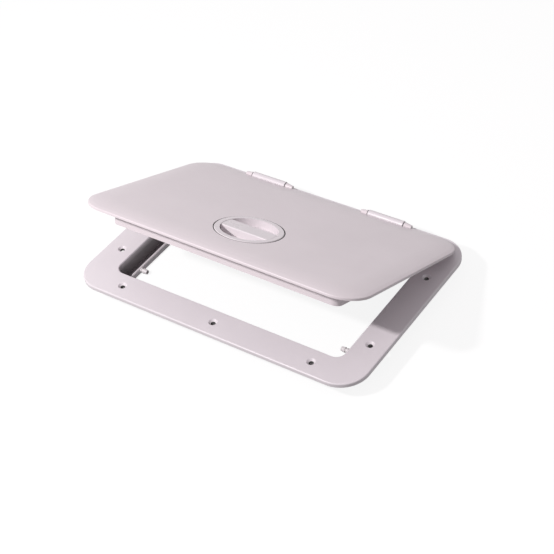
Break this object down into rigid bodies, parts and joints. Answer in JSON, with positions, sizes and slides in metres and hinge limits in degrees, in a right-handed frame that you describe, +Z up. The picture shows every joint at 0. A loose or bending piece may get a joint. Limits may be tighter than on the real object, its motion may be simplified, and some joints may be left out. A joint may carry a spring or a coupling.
{
  "type": "deck access hatch",
  "caption": "White moulded rectangular deck hatch: a flanged frame with a drained gutter and a hinged lid with a flush quarter-turn latch that swings a cam under the frame.",
  "frame": {"origin": "middle of the frame on the mounting plane, the underside of the flange", "axes": "+X to the right along the hinge line, +Y towards the hinges, +Z up out of the deck"},
  "size_m": [0.38, 0.253, 0.1184],
  "materials": {
    "frame": "satin white moulding",
    "lid": "satin white moulding",
    "latch_white": "satin white moulding",
    "spout": "moulded nipple",
    "nylon": "plain",
    "seal": "closed-cell foam",
    "steel": "plain stainless"
  },
  "bodies": {
    "base": {"frame": "frame", "drain_spout_left": "spout", "drain_spout_right": "spout", "hinge_pin_left": "steel", "hinge_pin_right": "steel", "hinge_washers_left": "nylon", "hinge_washers_right": "nylon"},
    "hatch_lid": {"lid": "lid", "lid_gasket": "seal", "latch_housing": "latch_white", "housing_gasket": "seal", "ring_nut": "latch_white"},
    "latch": {"latch_handle": "latch_white", "shaft_seal": "seal", "latch_spindle": "steel", "friction_washer": "nylon", "spindle_nut_upper": "steel", "cam_washer": "steel", "cam_arm": "steel", "spindle_nut_lower": "steel"}
  },
  "joints": [
    {"name": "lid_hinge", "type": "hinge", "parent": "base", "child": "hatch_lid", "pos_m": [0, 0.1201, 0.0094], "axis": [-1, 0, 0], "range_deg": [-23.06, 87]},
    {"name": "latch_turn", "type": "hinge", "parent": "hatch_lid", "child": "latch", "pos_m": [0, -0.02536, 0.07198], "axis": [0, -0.3917, -0.9201], "range_deg": [0, 90]}
  ]
}
